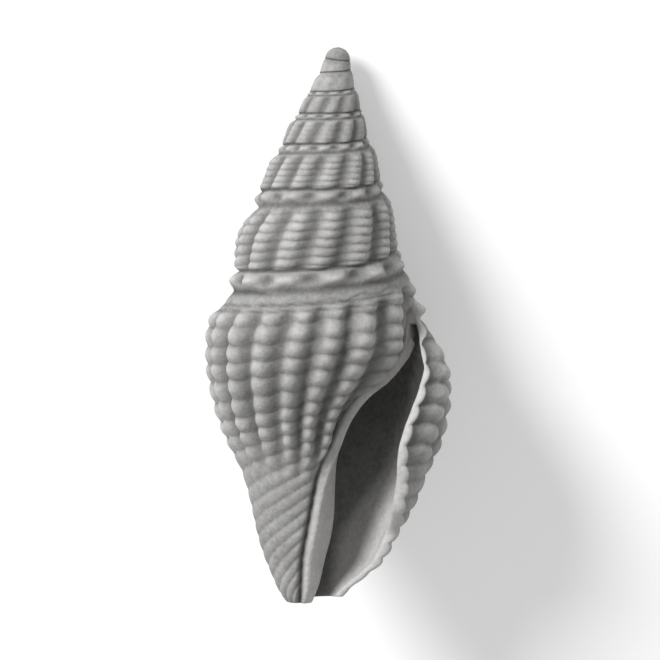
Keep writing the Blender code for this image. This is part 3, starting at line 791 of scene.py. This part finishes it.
shader.inputs["Metallic"].default_value = 0.0
shader.inputs["Specular IOR Level"].default_value = 0.25
roughness = (0.86 - 0.16 * pale + 0.10 * (specks - 0.5)).clamped()
tree.links.new(roughness.socket, shader.inputs["Roughness"])
pits = noise(PIT_SCALE, 4.0, 0.7)
dents = noise(DENT_SCALE, 2.0, 0.5)
height = 0.6 * pits + 0.35 * grain + 0.8 * dents - 0.5 * cord_groove
bumps = base.node("ShaderNodeBump", None, {"Strength": 0.55, "Distance": 0.00016, "Height": height})
tree.links.new(bumps.socket, shader.inputs["Normal"])
mesh.materials.append(stone)

# %% The fine shell stands for the CAD solid
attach(shell, "root")
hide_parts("shell")

# %% [markdown]
# The camera looks at the shell as the photo does: from above, tipped towards the apex, with
# a long lens so that nothing is drawn out of proportion. The picture is 660 pixels square.

# %% Camera
PICTURE_PIXELS = 660
PIXEL_MM = 0.0644
APEX_TIPS_UP = 5.8
AXIS_IN_PICTURE = (-37.0, 558.0)
APEX_PIXEL = (339.0, 48.0)
CAMERA_AWAY = 0.6
SENSOR_MM = 36.0

look_back = math.radians(DIP_DEGREES + APEX_TIPS_UP)
to_camera = np.array([0.0, math.sin(look_back), math.cos(look_back)])
to_apex = np.array([0.0, math.cos(look_back), -math.sin(look_back)])
across = np.array([1.0, 0.0, 0.0])
down_axis = np.array(AXIS_IN_PICTURE) / math.hypot(*AXIS_IN_PICTURE)
roll = math.atan2(-down_axis[0], down_axis[1])
up = math.cos(roll) * to_apex - math.sin(roll) * across
right = math.sin(roll) * to_apex + math.cos(roll) * across
off = (PICTURE_PIXELS / 2 - np.array(APEX_PIXEL)) * PIXEL_MM
along = float(off @ down_axis)
aside = float(off @ np.array([down_axis[1], -down_axis[0]]))
aim = into_frame(np.array([aside, -along / math.cos(math.radians(APEX_TIPS_UP)), 0.0]))

lens = bpy.data.cameras.new("camera")
lens.sensor_width = SENSOR_MM
lens.lens = SENSOR_MM * CAMERA_AWAY / (PICTURE_PIXELS * PIXEL_MM * MM)
lens.clip_start = 0.01
lens.clip_end = 10.0
camera = bpy.data.objects.new("camera", lens)
bpy.context.scene.collection.objects.link(camera)
place_camera = np.eye(4)
place_camera[:3, :3] = np.stack((right, up, to_camera), axis=1)
place_camera[:3, 3] = aim + to_camera * CAMERA_AWAY
camera.matrix_world = place_camera.T.tolist()
bpy.context.scene.camera = camera
print("lens in mm:", round(lens.lens), "aim in mm:", np.round(aim / MM, 2))

# %% [markdown]
# A plain white floor, one large soft light from the upper left and a pale surrounding give
# the print's modelling: bright left flanks, dark right flanks, and soft shade underneath.

# %% Floor
FLOOR_HALF = 1.5
floor_mesh = bpy.data.meshes.new("floor")
floor_mesh.from_pydata([(-FLOOR_HALF, -FLOOR_HALF, 0), (FLOOR_HALF, -FLOOR_HALF, 0),
                        (FLOOR_HALF, FLOOR_HALF, 0), (-FLOOR_HALF, FLOOR_HALF, 0)],
                       [], [(0, 1, 2, 3)])
floor = bpy.data.objects.new("floor", floor_mesh)
bpy.context.scene.collection.objects.link(floor)
paper = bpy.data.materials.new("white_floor")
paper.use_nodes = True
paper_shader = paper.node_tree.nodes["Principled BSDF"]
paper_shader.inputs["Base Color"].default_value = (0.92, 0.92, 0.92, 1.0)
paper_shader.inputs["Roughness"].default_value = 0.9
paper_shader.inputs["Specular IOR Level"].default_value = 0.0
paper_shader.inputs["Emission Color"].default_value = (1.0, 1.0, 1.0, 1.0)
paper_shader.inputs["Emission Strength"].default_value = 0.25
floor_mesh.materials.append(paper)

# %% Lights
KEY_AWAY = 1.6
KEY_SIZE = 0.60
KEY_WATTS = 25.0
SKY = 0.42

key_data = bpy.data.lights.new("key", "AREA")
key_data.shape = "DISK"
key_data.size = KEY_SIZE
key_data.energy = KEY_WATTS
key = bpy.data.objects.new("key", key_data)
bpy.context.scene.collection.objects.link(key)
from_left = -0.60 * right + 0.42 * up + 0.70 * to_camera
from_left = from_left / np.linalg.norm(from_left)
side = np.cross(np.array([0.0, 0.0, 1.0]), from_left)
side = side / np.linalg.norm(side)
place_key = np.eye(4)
place_key[:3, :3] = np.stack((side, np.cross(from_left, side), from_left), axis=1)
place_key[:3, 3] = aim + from_left * KEY_AWAY
key.matrix_world = place_key.T.tolist()

world = bpy.data.worlds.new("studio")
world.use_nodes = True
world.node_tree.nodes["Background"].inputs["Color"].default_value = (1.0, 1.0, 1.0, 1.0)
world.node_tree.nodes["Background"].inputs["Strength"].default_value = SKY
bpy.context.scene.world = world
bpy.context.scene.view_settings.view_transform = "Standard"
